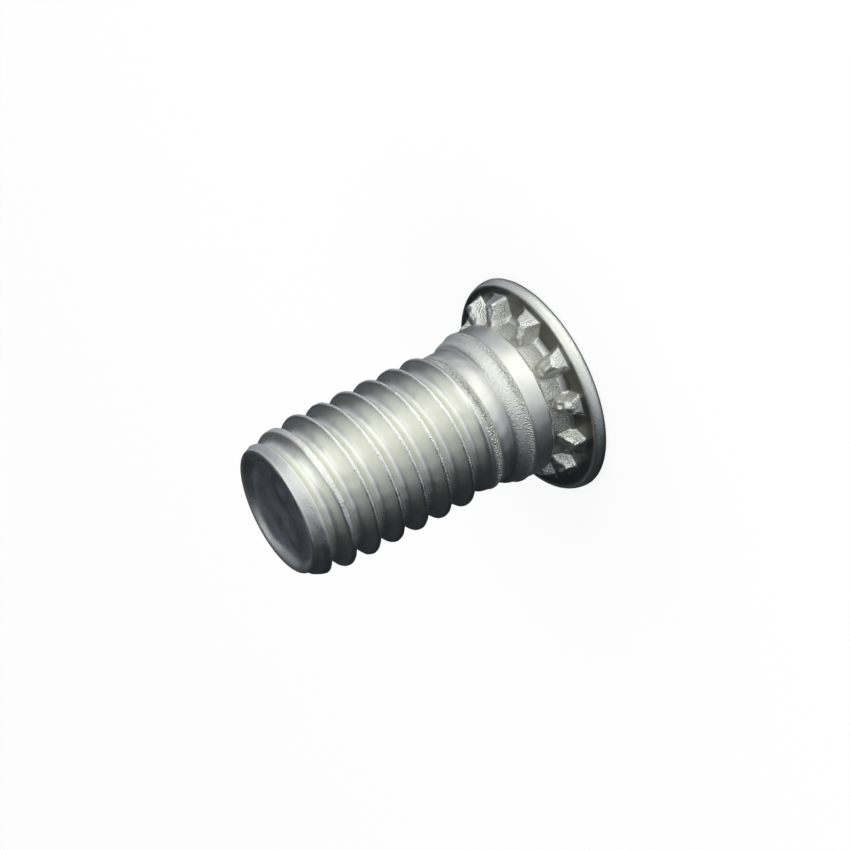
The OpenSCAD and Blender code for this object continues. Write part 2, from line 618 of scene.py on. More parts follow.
@dataclass
class Neck:
    """The groove between the ribs and the collar, where the sheet's metal flows in.

    Attributes:
        foot_radius: Radius at the foot, between the ribs.
        radius: Radius at the top, where the groove is narrowest.
        top: Height of the top.
        neck_foot_shade: Painted shade at the foot, between the ribs, which lessens towards the top.
        under_collar_shade: Painted shade right under the collar.
        top_start: Share of the way up at which that shade sets in.
        frost: Frost of the wall.
        fall: Power of the share by which the radius closes in.
        rows: Rows on the wall.
        waves: Unevenness of the wall.
    """

    foot_radius: float = 2.00 * MM
    radius: float = 1.81 * MM
    top: float = 0.93 * MM
    neck_foot_shade: float = 0.70
    under_collar_shade: float = 0.80
    top_start: float = 0.8
    frost: float = 0.25
    fall: float = 0.7
    rows: int = 11
    waves: Unevenness = Unevenness(seed=23, height=0.006 * MM, wavelength=0.35 * MM)

    def strip(self, below: Strip) -> Strip:
        """Builds the groove's wall: from the last row below it to its narrowest circle.

        Radius and height both run from the row below to the top, the height as the share and the
        radius as the share to the power of the fall, so that it closes in first.

        Args:
            below: The strip whose last row it starts from.

        Returns:
            The strip, without that row itself.
        """
        share = shares(self.rows)
        start_radius, start_height = below.radius[-1:], below.height[-1:]
        angle = below.angle[-1:]
        height = start_height + (self.top - start_height) * share
        radius = start_radius + (self.radius - start_radius) * share**self.fall
        radius = radius + self.waves.over(angle, height) * share * (1 - share) * 4
        return Strip(
            angle=angle,
            radius=radius,
            height=height,
            phase=phase_along(radius, height),
            frost=self.frost,
            # Painted shade at the groove's foot and right under the collar.
            grime_and_shade=self.neck_foot_shade * (1.0 - share) + self.under_collar_shade * ease(share, self.top_start, 1.0),
        )


@dataclass
class Collar:
    """The round collar that fits the hole in the sheet, and the coarse shoulder behind it.

    Attributes:
        start: Height of the collar's end face.
        radius: Radius of its wall.
        length: Height of its wall.
        edge: Rounding of its edge.
        groove_radius: Inner radius of the end face, at the groove.
        groove_lip: Width and depth of the slope at the end face's inner edge.
        ridge: Height of the low round ridge at the wall's end.
        ridge_width: Distance at which the ridge has fallen to 1/e.
        step: How far the shoulder steps down behind the ridge.
        step_length: Length of that step.
        shoulder_length: Length of the whole shoulder.
        shoulder_drop: How far the shoulder falls, the step included.
        corner_shade_and_grime: Painted shade in the corner at the run-out, with a little residue.
        corner: Length of the shoulder over which that darkening sets in.
        worn_reach: How far up the wall its edge is burnished, in roundings of the edge.
        worn_face: Radii of the end face between which the burnish sets in.
        coarse: Frost of the coarse shoulder.
        coarse_start: Length of the wall over which the frost sets in.
        smooth_end: Length of the shoulder's end over which it turns smooth.
        coarse_end: Length behind the ridge over which the shoulder gets less coarse.
        coarse_rest: Share of the frost that stays there.
        edge_rows: Rows on the wall's rounded edge.
        wall_rows: Rows on the wall.
        shoulder_rows: Rows on the shoulder.
        waves: Unevenness of the wall.
        grit: Roughness of the shoulder.
    """

    start: float = 0.96 * MM
    radius: float = 2.05 * MM
    length: float = 0.64 * MM
    edge: float = 0.08 * MM
    groove_radius: float = 1.83 * MM
    groove_lip: tuple[float, float] = (0.05 * MM, 0.012 * MM)
    ridge: float = 0.022 * MM
    ridge_width: float = 0.045 * MM
    step: float = 0.06 * MM
    step_length: float = 0.10 * MM
    shoulder_length: float = 0.46 * MM
    shoulder_drop: float = 0.22 * MM
    corner_shade_and_grime: float = 0.38
    corner: float = 0.07 * MM
    worn_reach: float = 1.6
    worn_face: tuple[float, float] = (1.90 * MM, 2.00 * MM)
    coarse: float = 0.45
    coarse_start: float = 0.05 * MM
    smooth_end: float = 0.08 * MM
    coarse_end: float = 0.26 * MM
    coarse_rest: float = 0.4
    edge_rows: int = 6
    wall_rows: int = 10
    shoulder_rows: int = 16
    waves: Unevenness = Unevenness(seed=29, height=0.0018 * MM, wavelength=0.5 * MM)
    grit: Unevenness = Unevenness(seed=31, height=0.0016 * MM, wavelength=0.13 * MM, waves=44)

    @property
    def shoulder(self) -> float:
        """Height at which the shoulder starts."""
        return self.start + self.length

    @property
    def end(self) -> float:
        """Height at which the shoulder meets the run-out."""
        return self.shoulder + self.shoulder_length

    def wall_radius(self, height: np.ndarray) -> np.ndarray:
        """Radius of the collar and the shoulder.

        The wall is straight and ends in a low round ridge. Behind it the shoulder steps down a
        little and then falls as a cubic curve, steepest at the run-out.

        Args:
            height: Distance up the axis.

        Returns:
            Distance from the axis.
        """
        onward = height - self.shoulder
        ridge = self.ridge * np.exp(-((onward / self.ridge_width) ** 2))
        step = self.step * ease(onward, 0.0, self.step_length)
        share = np.clip((onward - self.step_length) / (self.shoulder_length - self.step_length), 0.0, 1.0)
        return self.radius + ridge - step - (self.shoulder_drop - self.step) * share**3

    def wall_strip(self, count: int) -> Strip:
        """Builds the collar's end face, its rounded edge and its wall.

        Args:
            count: How many columns a whole turn has.

        Returns:
            The strip, up to where the shoulder starts.
        """
        angle = columns(count)
        centre = (self.radius - self.edge, self.start + self.edge)
        inner, (run, drop) = self.groove_radius, self.groove_lip
        lip = np.array([[inner, self.start - drop], [inner + run, self.start]])
        edge = arc(centre, self.edge, -90, 0, self.edge_rows)
        heights = np.linspace(self.start + self.edge, self.shoulder, self.wall_rows + 1)[1:]
        wall = np.stack([self.wall_radius(heights), heights], -1)
        section = np.concatenate([lip, edge, wall])
        radius, height = section[:, :1], section[:, 1:]
        radius = radius + self.waves.over(angle, height)
        edge_worn = ease(height, self.start + self.worn_reach * self.edge, self.start)
        return Strip(
            angle=angle,
            radius=radius,
            height=height,
            phase=phase_along(radius, height),
            worn=edge_worn * ease(radius, *self.worn_face),
            frost=self.coarse * ease(height, self.shoulder - self.coarse_start, self.shoulder),
        )

    def shoulder_strip(self, count: int) -> Strip:
        """Builds the coarse sloping shoulder between the collar and the run-out.

        Args:
            count: How many columns a whole turn has.

        Returns:
            The strip, up to the run-out.
        """
        angle = columns(count)
        height = self.shoulder + self.shoulder_length * shares(self.shoulder_rows)
        rough = ease(height, self.end, self.end - self.smooth_end)
        near_ridge = ease(height, self.shoulder + self.coarse_end, self.shoulder)
        coarse = self.coarse_rest + (1.0 - self.coarse_rest) * near_ridge
        radius = self.wall_radius(height) + self.grit.over(angle, height) * rough
        return Strip(
            angle=angle,
            radius=radius,
            height=height,
            phase=phase_along(radius, height),
            frost=self.coarse * rough * coarse,
            # Painted shade in the corner at the run-out, with a little residue.
            grime_and_shade=self.corner_shade_and_grime * ease(height, self.end - self.corner, self.end),
        )


@dataclass
class Thread:
    """The rolled thread, from the plain run-out at the shoulder to the chamfer at the tip.

    Attributes:
        crest: Radius of the crests.
        start: Height at which the run-out starts.
        end: Height at which the chamfer ends.
        run_out_radius: Radius of the run-out.
        pitch: Distance along the axis from crest to crest.
        hand: Which way the thread climbs.
        turned: Where on the axis a crest passes angle 0, in pitches.
        depth: Depth of the groove.
        crest_width: Width of the flat on a crest.
        root_rounding: Half the length of the parabola at the root.
        crest_rounding: Half the length of the parabola at a crest's edge.
        fade_start: Height at which the groove starts to run in.
        full: Height from which the groove has its full depth.
        ridge_lag: How far the run-out's ridge lies behind the helix.
        ridge_width: Distance at which that ridge has fallen to 1/e^2.
        ridge_height: Height of that ridge.
        ridge_margin: How far the ridge stays from the ends of the run-out.
        ridge_fade: Distance over which the ridge rises and dies away there.
        corner_shade_and_grime: Painted shade in the corner at the shoulder, with a little residue.
        corner: Distances from the shoulder between which that darkening sets in.
        crest_edge: Distances from a crest's middle line between which its burnish sets in.
        lead_in: Height from which the crests are filled less.
        lead_in_drop: How much lower the crests are at the chamfer.
        tip_fade: Share of the groove's depth that is gone at the tip.
        tip_fade_lead: How far before the chamfer that starts.
        chamfer_length: Length of the chamfer along the axis.
        chamfer_rounding: Half the length of the parabola between crests and chamfer.
        chamfer_dull: How far the chamfer is dulled at the tip.
        tip_radius: Radius at the chamfer's end.
        rows_a_turn: Rows for each turn of the helix.
        spare: Turns of rows beyond each end of the thread, which are held at that end.
        crowding: How far the rows are crowded towards the crests.
        snap: Distance within which a row's point is put on the thread's end.
        held: Distance from the thread's ends over which its unevenness sets in.
        waves: Unevenness of the thread.
    """

    crest: float
    start: float
    end: float
    run_out_radius: float
    pitch: float = 0.70 * MM
    hand: Hand = Hand.RIGHT
    turned: float = 0.229
    depth: float = 0.38 * MM
    crest_width: float = 0.07 * MM
    root_rounding: float = 0.10 * MM
    crest_rounding: float = 0.022 * MM
    fade_start: float = 2.52 * MM
    full: float = 3.05 * MM
    ridge_lag: float = 0.17 * MM
    ridge_width: float = 0.12 * MM
    ridge_height: float = 0.065 * MM
    ridge_margin: float = 0.10 * MM
    ridge_fade: float = 0.25 * MM
    corner_shade_and_grime: float = 0.38
    corner: tuple[float, float] = (0.26 * MM, 0.02 * MM)
    crest_edge: tuple[float, float] = (0.09 * MM, 0.04 * MM)
    lead_in: float = 6.5 * MM
    lead_in_drop: float = 0.11 * MM
    tip_fade: float = 0.15
    tip_fade_lead: float = 0.35 * MM
    chamfer_length: float = 0.38 * MM
    chamfer_rounding: float = 0.03 * MM
    chamfer_dull: float = 0.35
    tip_radius: float = 1.67 * MM
    rows_a_turn: int = 26
    spare: int = 1
    crowding: float = 0.55
    snap: float = 0.006 * MM
    held: float = 0.10 * MM
    waves: Unevenness = Unevenness(seed=37, height=0.0022 * MM, wavelength=0.42 * MM)

    @property
    def chamfer(self) -> float:
        """Height at which the chamfer starts."""
        return self.end - self.chamfer_length

    def across(self, height: np.ndarray, angle: np.ndarray) -> np.ndarray:
        """Returns the distance along the axis from the nearest crest's middle line, signed."""
        turns = height / self.pitch - self.turned - self.hand.value * angle / TURN
        return (turns - np.round(turns)) * self.pitch

    def groove(self, offset: np.ndarray) -> np.ndarray:
        """Depth below the crest: a flank that starts at the crest's edge and ends in a round root.

        It is the difference of two rounded ramps, one from the crest's edge and one from the root's,
        times the depth and divided by the flank's width.

        Args:
            offset: Distance along the axis from the crest's middle line.

        Returns:
            The depth, 0 at the crest and the thread's depth at the root.
        """
        far = np.abs(offset)
        flank_start, flank_end = self.crest_width / 2, self.pitch / 2 - self.root_rounding
        fall = rounded_ramp(far - flank_start, self.crest_rounding)
        fall = fall - rounded_ramp(far - flank_end, self.root_rounding)
        return self.depth * fall / (flank_end - flank_start)

    def ridge(self, height: np.ndarray, angle: np.ndarray) -> np.ndarray:
        """The coarse ridge on the run-out behind the helix: the bell curve e^(-2 (x / width)^2).

        Args:
            height: Distance up the axis.
            angle: Angle about the axis, in radians.

        Returns:
            How far the ridge is there, from 0 to 1.
        """
        behind = self.across(height + self.ridge_lag, angle)
        first, last = self.start + self.ridge_margin, self.full - self.ridge_margin
        kept = ease(height, first, first + self.ridge_fade) * ease(height, last, last - self.ridge_fade)
        return kept * np.exp(-2.0 * (behind / self.ridge_width) ** 2)

    def radius(self, height: np.ndarray, angle: np.ndarray) -> np.ndarray:
        """Radius of the thread: crest less groove, blended into the run-out and cut by the chamfer.

        The crest is filled a little less over the last turns, the groove runs out through the
        chamfer, and the run-out is a plain cylinder with one coarse ridge where rolling began.

        Args:
            height: Distance up the axis.
            angle: Angle about the axis, in radians.

        Returns:
            Distance from the axis.
        """
        offset = self.across(height, angle)
        drop = self.lead_in_drop * ease(height, self.lead_in, self.chamfer)
        fading = 1.0 - self.tip_fade * ease(height, self.chamfer - self.tip_fade_lead, self.end)
        threaded = self.crest - np.maximum(self.groove(offset) * fading, drop)
        cone_share = (height - self.chamfer) / (self.end - self.chamfer)
        cone_start = self.crest - self.lead_in_drop
        cone = cone_start + (self.tip_radius - cone_start) * cone_share
        limit = threaded - rounded_ramp(threaded - cone, self.chamfer_rounding)
        plain = self.run_out_radius + self.ridge_height * self.ridge(height, angle)
        share = ease(height, self.fade_start, self.full)
        return plain + (limit - plain) * share

    def strip(self, count: int) -> Strip:
        """Builds the thread on rows that climb with the helix, so that its crests are clean lines.

        Row number i lies at pitch times (i / rows a turn), crowded towards the crests, plus its climb
        with the angle. It is held between the thread's ends, where rows run out and coincide.

        Args:
            count: How many columns a whole turn has.

        Returns:
            The strip. A row's last column meets the first column a turn of rows on.
        """
        angle = columns(count)
        turns = math.ceil((self.end - self.start) / self.pitch) + 1 + 2 * self.spare
        number = np.arange(turns * self.rows_a_turn + 1)
        share = (number % self.rows_a_turn) / self.rows_a_turn
        crowded = share - self.crowding * np.sin(TURN * share) / TURN
        first = math.floor(self.start / self.pitch - self.turned) - self.spare
        row = first + number // self.rows_a_turn + crowded
        climb = self.hand.value * angle / TURN
        height = self.pitch * (row[:, None] + self.turned + climb)
        height = np.where(height < self.start + self.snap, self.start, height)
        height = np.where(height > self.end - self.snap, self.end, height)
        radius = self.radius(height, angle)
        free = ease(height, self.start, self.start + self.held)
        free = free * ease(height, self.end, self.end - self.held)
        radius = radius + self.waves.over(angle, height) * free
        offset = self.across(height, angle)
        on_crest = ease(np.abs(offset), *self.crest_edge) * ease(height, self.fade_start, self.full)
        on_crest = on_crest * ease(height, self.end, self.chamfer)
        return Strip(
            angle=angle,
            radius=radius,
            height=height,
            phase=TURN * offset / self.pitch,
            frost=self.ridge(height, angle),
            # Painted shade in the corner at the shoulder, with a little residue.
            grime_and_shade=self.corner_shade_and_grime * ease(height - self.start, *self.corner),
            worn=on_crest,
            dull=self.chamfer_dull * ease(height, self.chamfer, self.end),
        )


@dataclass
class Tip:
    """The end of the shank: a rounded lip round the shallow cup that rolling leaves.

    Attributes:
        length: Height of the tip above the head's outer face.
        edge: Rounding of the lip's outer edge.
        mouth: Radius of the cup's mouth.
        side_depth: Depth of the cup's sloping side.
        side_width: Width of that side.
        side_rounding: Half the length of the parabola at the mouth.
        floor_rounding: Half the length of the parabola at the floor.
        floor_sag: How much deeper the floor is in its middle.
        floor_lead: How far inside the side's foot the floor's own rows start.
        edge_rows: Rows on the lip's edge.
        side_rows: Rows on the lip and the cup's side.
        floor_rows: Rows on the floor.
        mouth_waves: Unevenness of the mouth.
        bumps: How many waves make the floor's bumps.
        bump_height: Height of those bumps.
        bump_length: Their typical wavelength.
        bump_spread: Shares of it between which the wavelengths are drawn.
        bump_fade: Distance from the mouth over which they set in.
        seed: Seed of the bumps.
        frost: Frost of the lip and the cup.
        lip_dull: How far the lip is dulled.
        cup_dull: Distances inside the mouth between which the cup turns fully dull.
    """

    length: float
    edge: float = 0.06 * MM
    mouth: float = 1.54 * MM
    side_depth: float = 0.17 * MM
    side_width: float = 0.19 * MM
    side_rounding: float = 0.035 * MM
    floor_rounding: float = 0.056 * MM
    floor_sag: float = 0.05 * MM
    floor_lead: float = 0.08 * MM
    edge_rows: int = 6
    side_rows: int = 14
    floor_rows: int = 13
    mouth_waves: Unevenness = Unevenness(
        seed=41, height=0.008 * MM, wavelength=1.8 * MM, radius=1.5 * MM, waves=16
    )
    bumps: int = 14
    bump_height: float = 0.022 * MM
    bump_length: float = 1.1 * MM
    bump_spread: tuple[float, float] = (0.6, 1.7)
    bump_fade: float = 0.3 * MM
    seed: int = 43
    frost: float = 0.03
    lip_dull: float = 0.35
    cup_dull: tuple[float, float] = (0.10 * MM, 0.22 * MM)

    def unevenness(self, across: np.ndarray, deep: np.ndarray) -> np.ndarray:
        """Slight bumps of the cup's floor: a seeded sum of cosine waves over x and y.

        Args:
            across: Place along x.
            deep: Place along y.

        Returns:
            The offset of the floor, with a root mean square of about the bump height.
        """
        rng = np.random.default_rng(self.seed)
        heading, phase = rng.uniform(0.0, TURN, (2, self.bumps))
        number = TURN / (self.bump_length * rng.uniform(*self.bump_spread, self.bumps))
        turned = across[..., None] * np.cos(heading) + deep[..., None] * np.sin(heading)
        waves = np.cos(number * turned + phase)
        return self.bump_height * math.sqrt(2.0 / self.bumps) * waves.sum(axis=-1)

    def cup_drop(self, radius: np.ndarray, angle: np.ndarray) -> np.ndarray:
        """Depth of the cup below the lip: a rounded slope, then a floor that sags as a parabola.

        Args:
            radius: Distance from the axis.
            angle: Angle about the axis, in radians.

        Returns:
            The depth below the tip's plane.
        """
        inward = self.mouth + self.mouth_waves.over(angle, np.zeros(1)) - radius
        slope = rounded_ramp(inward, self.side_rounding)
        slope = slope - rounded_ramp(inward - self.side_width, self.floor_rounding)
        sag = self.floor_sag * (1 - np.clip(radius / (self.mouth - self.side_width), 0.0, 1.0) ** 2)
        bumps = self.unevenness(radius * np.cos(angle), radius * np.sin(angle))
        return self.side_depth * slope / self.side_width + sag + bumps * ease(inward, 0.0, self.bump_fade)

    def strip(self, below: Strip) -> Strip:
        """Builds the lip's rounded edge, its flat and the cup, in to the centre.

        Args:
            below: The thread, whose last row is the outer end of the lip's edge.

        Returns:
            The strip, whose last row is the centre point.
        """
        angle, outer = below.angle[-1:], below.radius[-1:]
        turn = math.pi / 2 * shares(self.edge_rows)
        edge_radius = outer - self.edge * (1.0 - np.cos(turn))
        edge_height = self.length - self.edge * (1.0 - np.sin(turn)) + 0.0 * angle
        floor_start = self.mouth - self.side_width - self.floor_lead
        side = edge_radius[-1:] + (floor_start - edge_radius[-1:]) * shares(self.side_rows)
        floor = floor_start * (1.0 - shares(self.floor_rows)) + 0.0 * angle
        cup_radius = np.concatenate([side, floor])
        cup_height = self.length - self.cup_drop(cup_radius, angle)
        radius = np.concatenate([edge_radius, cup_radius])
        height = np.concatenate([edge_height, cup_height])
        return Strip(
            angle=angle,
            radius=radius,
            height=height,
            phase=phase_along(radius, height),
            frost=self.frost,
            dull=self.lip_dull + (1.0 - self.lip_dull) * ease(self.mouth - radius, *self.cup_dull),
        )


class Recipe:
    """A material's nodes, added one at a time."""

    def __init__(self, name: str) -> None:
        """Starts an empty node tree with an output.

        Args:
            name: The material's name.
        """
        self.material = bpy.data.materials.new(name)
        self.material.use_nodes = True
        self.tree = self.material.node_tree
        self.tree.nodes.clear()
        self.output = self.tree.nodes.new("ShaderNodeOutputMaterial")

    def node(self, kind: str, inputs: dict | None = None, **settings: object) -> bpy.types.Node:
        """Adds a node.

        Args:
            kind: The node's type, without its ShaderNode prefix.
            inputs: A value or a socket to link for each input, by name or number.
            settings: Properties of the node.

        Returns:
            The node.
        """
        made = self.tree.nodes.new("ShaderNode" + kind)
        for key, value in settings.items():
            setattr(made, key, value)
        for key, value in (inputs or {}).items():
            if isinstance(value, bpy.types.NodeSocket):
                self.tree.links.new(value, made.inputs[key])
            else:
                made.inputs[key].default_value = value
        return made

    def noise(self, place: bpy.types.NodeSocket, scale: float, detail: float) -> bpy.types.NodeSocket:
        """Adds a noise texture and returns its factor."""
        inputs = {"Vector": place, "Scale": scale, "Detail": detail, "Roughness": NOISE_ROUGHNESS}
        return self.node("TexNoise", inputs).outputs[0]

    def math(self, operation: str, first: object, second: object) -> bpy.types.NodeSocket:
        """Applies an arithmetic operation to two numbers, or sockets that hold numbers."""
        return self.node("Math", {0: first, 1: second}, operation=operation).outputs[0]

    def bump(
        self, height: bpy.types.NodeSocket, depth: float, under: bpy.types.NodeSocket | None = None
    ) -> bpy.types.NodeSocket:
        """Adds a bump.

        Args:
            height: Where the surface is raised, from 0 to 1.
            depth: How far it is raised, in metres.
            under: The normal of the bump below this one.

        Returns:
            The bent normal.
        """
        inputs = {"Height": height, "Distance": depth}
        if under is not None:
            inputs["Normal"] = under
        return self.node("Bump", inputs).outputs[0]

    def attribute(self, name: str, output: str = "Fac") -> bpy.types.NodeSocket:
        """Adds a node that reads a point attribute of the piece and returns one of its outputs."""
        return self.node("Attribute", attribute_name=name).outputs[output]

    def blend(self, factor: object, first: object, second: object) -> bpy.types.NodeSocket:
        """Mixes two numbers, or sockets that hold numbers, by a factor."""
        made = self.node("Mix", {0: factor, 2: first, 3: second}, data_type="FLOAT")
        return made.outputs[0]

    def blend_colour(self, factor: object, first: object, second: object) -> bpy.types.NodeSocket:
        """Mixes two colours, or sockets that hold colours, by a factor."""
        made = self.node("Mix", {0: factor, 6: first, 7: second}, data_type="RGBA")
        return made.outputs[2]

    def spread(self, value: bpy.types.NodeSocket, low: float, high: float) -> bpy.types.NodeSocket:
        """Stretches the part of a value between low and high to 0 and 1."""
        return self.node("MapRange", {0: value, 1: low, 2: high}).outputs[0]

    def finish(self, shader: bpy.types.NodeSocket) -> bpy.types.Material:
        """Links the shader to the output and returns the material."""
        self.tree.links.new(shader, self.output.inputs[0])
        return self.material


@dataclass(frozen=True)
class ZincFinish:
    """Satin zinc plate on rolled steel, coarser on the shoulder and duller in the cup.

    Attributes:
        name: The material's name.
        colour: The plate's colour.
        cloud: Its colour where it is clouded.
        dull: Colour in the cup.
        grime_and_shade: Colour of the painted shade in recesses, and of the pits.
        satin: Roughness of the plate.
        frosted: Roughness where it is coarse.
        burnished: Roughness of worn crests.
        dulled: Roughness of the cup between its stains.
        patchy: Roughness of the cup's stains.
        clouding: What the clouds take from and add to the roughness.
        cloud_range: Values of the noise between which the colour turns clouded.
        clouding_range: Values of the noise between which the clouds change the roughness.
        stain_range: Values of the noise between which a stain sets in.
        pit_range: Values of the noise between which a pit sets in.
        mark_depth: Depth of the forming marks.
        grain_depth: Depth of the grain.
        frost_depth: Depth of the flakes where the surface is coarse.
        speck: How far a worn crest is flaked.
        pitted: How far the pits darken where the surface is coarse.
        cloud_scale: Clouds in a metre.
        mark_scale: Marks in a unit of the lay.
        grain_scale: Grains in a metre.
        pit_scale: Pits in a metre.
        flake_scale: Flakes in a metre.
        cloud_detail: Octaves of the clouds' and the stains' noise.
        pit_detail: Octaves of the pits' noise.
        fine_detail: Octaves of the marks' and the grain's noise.
    """

    name: str = "zinc_on_steel"
    colour: Colour = (0.875, 0.88, 0.805)
    cloud: Colour = (0.80, 0.81, 0.745)
    dull: Colour = (0.43, 0.455, 0.475)
    grime_and_shade: Colour = (0.20, 0.195, 0.175)
    satin: float = 0.38
    frosted: float = 0.50
    burnished: float = 0.28
    dulled: float = 0.40
    patchy: float = 0.58
    clouding: tuple[float, float] = (-0.03, 0.05)
    cloud_range: tuple[float, float] = (0.35, 0.70)
    clouding_range: tuple[float, float] = (0.30, 0.75)
    stain_range: tuple[float, float] = (0.42, 0.70)
    pit_range: tuple[float, float] = (0.52, 0.66)
    mark_depth: float = 0.0012 * MM
    grain_depth: float = 0.0016 * MM
    frost_depth: float = 0.070 * MM
    speck: float = 0.14
    pitted: float = 0.65
    cloud_scale: float = 900.0
    mark_scale: float = 1.1
    grain_scale: float = 16000.0
    pit_scale: float = 22000.0
    flake_scale: float = 24000.0
    cloud_detail: float = 4.0
    pit_detail: float = 2.0
    fine_detail: float = 3.0

    def material(self) -> bpy.types.Material:
        """Builds the finish: clouds, stains and pits, forming marks along the lay, grain and flakes.

        Returns:
            The material.
        """
        make = Recipe(self.name)
        place = make.node("TexCoord").outputs["Object"]
        clouds = make.noise(place, self.cloud_scale, self.cloud_detail)
        inputs = {
            "Base Color": self.tint(make, place, clouds),
            "Metallic": 1.0,
            "Roughness": self.roughness(make, clouds),
            "Normal": self.relief(make, place),
        }
        return make.finish(make.node("BsdfPrincipled", inputs).outputs[0])

    def tint(
        self, make: Recipe, place: bpy.types.NodeSocket, clouds: bpy.types.NodeSocket
    ) -> bpy.types.NodeSocket:
        """Mixes the colour: plate with clouds, the dull cup, then painted shade in recesses and dark pits.

        Args:
            make: The material's nodes.
            place: Place on the piece.
            clouds: Noise of the clouds.

        Returns:
            The colour.
        """
        frost, grime_and_shade = make.attribute("frost"), make.attribute("grime_and_shade")
        cloud = make.spread(clouds, *self.cloud_range)
        colour = make.blend_colour(cloud, (*self.colour, 1.0), (*self.cloud, 1.0))
        colour = make.blend_colour(make.attribute("dull"), colour, (*self.dull, 1.0))
        pits = make.spread(make.noise(place, self.pit_scale, self.pit_detail), *self.pit_range)
        pits = make.math("MULTIPLY", make.math("MULTIPLY", pits, frost), self.pitted)
        # Painted shade in the recesses, and the dark pits, mix in the darkest colour.
        return make.blend_colour(make.math("MAXIMUM", grime_and_shade, pits), colour, (*self.grime_and_shade, 1.0))

    def roughness(self, make: Recipe, clouds: bpy.types.NodeSocket) -> bpy.types.NodeSocket:
        """Mixes the roughness: satin, coarse, burnished or dull with stains, plus the clouds.

        Args:
            make: The material's nodes.
            clouds: Noise of the clouds.

        Returns:
            The roughness.
        """
        rough = make.blend(make.attribute("frost"), self.satin, self.frosted)
        rough = make.blend(make.attribute("worn"), rough, self.burnished)
        stains = make.spread(clouds, *self.stain_range)
        stained = make.blend(stains, self.dulled, self.patchy)
        rough = make.blend(make.attribute("dull"), rough, stained)
        clouding = make.blend(make.spread(clouds, *self.clouding_range), *self.clouding)
        return make.math("ADD", rough, clouding)

    def relief(self, make: Recipe, place: bpy.types.NodeSocket) -> bpy.types.NodeSocket:
        """Stacks the fine relief: forming marks, grain, and flakes where it is coarse or worn.

        Args:
            make: The material's nodes.
            place: Place on the piece.

        Returns:
            The bent normal.
        """
        marks = make.noise(make.attribute("lay", "Vector"), self.mark_scale, self.fine_detail)
        grain = make.noise(place, self.grain_scale, self.fine_detail)
        inputs = {"Vector": place, "Scale": self.flake_scale}
        flakes = make.node("TexVoronoi", inputs, feature="F1").outputs[0]
        normal = make.bump(marks, self.mark_depth)
        normal = make.bump(grain, self.grain_depth, normal)
        worn = make.math("MULTIPLY", make.attribute("worn"), self.speck)
        specks = make.math("ADD", make.attribute("frost"), worn)
        return make.bump(make.math("MULTIPLY", flakes, specks), self.frost_depth, normal)


@dataclass
class Stud:
    """The whole stud, one piece of steel.

    Attributes:
        head: The flush head.
        ribs: The clinching ribs and the underside that they stand on.
        neck: The groove between the ribs and the collar.
        collar: The collar and the coarse shoulder behind it.
        thread: The run-out, the thread and its chamfer.
        tip: The lip and the cup.
        finish: The finish, one for the whole stud.
        name: Name of the piece and its mesh.
        fine: Columns of the ribs and the neck.
        coarse: Columns of everything else.
        merge: Distance below which two points are one.
    """

    head: Head
    ribs: Ribs
    neck: Neck
    collar: Collar
    thread: Thread
    tip: Tip
    finish: ZincFinish = ZincFinish()
    name: str = "flush_head_stud"
    fine: int = 648
    coarse: int = 216
    merge: float = 0.00005 * MM

    def build(self) -> bpy.types.Object:
        """Stacks the strips from the head's outer face to the tip's cup and dresses the mesh.

        Returns:
            The stud's object.
        """
        skin = Skin()
        skin.add(self.head.strip(self.coarse))
        ribs = self.ribs.strip(self.fine)
        skin.add(ribs)
        skin.add(self.neck.strip(ribs))
        skin.add(self.collar.wall_strip(self.coarse))
        skin.add(self.collar.shoulder_strip(self.coarse))
        thread = self.thread.strip(self.coarse)
        skin.add(thread)
        skin.add(self.tip.strip(thread))
        mesh = skin.mesh(self.name, self.merge)
        piece = add_object(self.name, mesh)
        piece.data.materials.append(self.finish.material())
        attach(piece, "root")
        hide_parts("stud")
        return piece


@dataclass(frozen=True)
class PaleFloor:
    """The pale floor: mostly plain white to the eye, with a trace of the stud's soft shadow.

    Attributes:
        name: Name of the object and its material.
        size: Length of its side.
        colour: Colour of the share that takes light and shadow.
        shown_white: Share of plain white that the camera and reflections see.
    """

    name: str = "pale_floor"
    size: float = 1.2
    colour: Colour = (0.95, 0.95, 0.95)
    shown_white: float = 0.78

    def build(self) -> bpy.types.Object:
        """Makes the floor, a flat square at z = 0.

        Returns:
            The floor's object.
        """
        half = self.size / 2
        corners = [(-half, -half, 0), (half, -half, 0), (half, half, 0), (-half, half, 0)]
        mesh = bpy.data.meshes.new(self.name)
        mesh.from_pydata(corners, [], [(0, 1, 2, 3)])
        floor = add_object(self.name, mesh)
        make = Recipe(self.name)
        path = make.node("LightPath")
        seen = make.math("MAXIMUM", path.outputs["Is Camera Ray"], path.outputs["Is Glossy Ray"])
        seen = make.math("MAXIMUM", seen, path.outputs["Is Transmission Ray"])
        share = make.math("MULTIPLY", seen, self.shown_white)
        matt = make.node("BsdfDiffuse", {"Color": (*self.colour, 1.0)})
        white = make.node("Emission", {"Color": (1.0, 1.0, 1.0, 1.0), "Strength": 1.0})
        mixed = make.node("MixShader", {0: share, 1: matt.outputs[0], 2: white.outputs[0]})
        mesh.materials.append(make.finish(mixed.outputs[0]))
        return floor


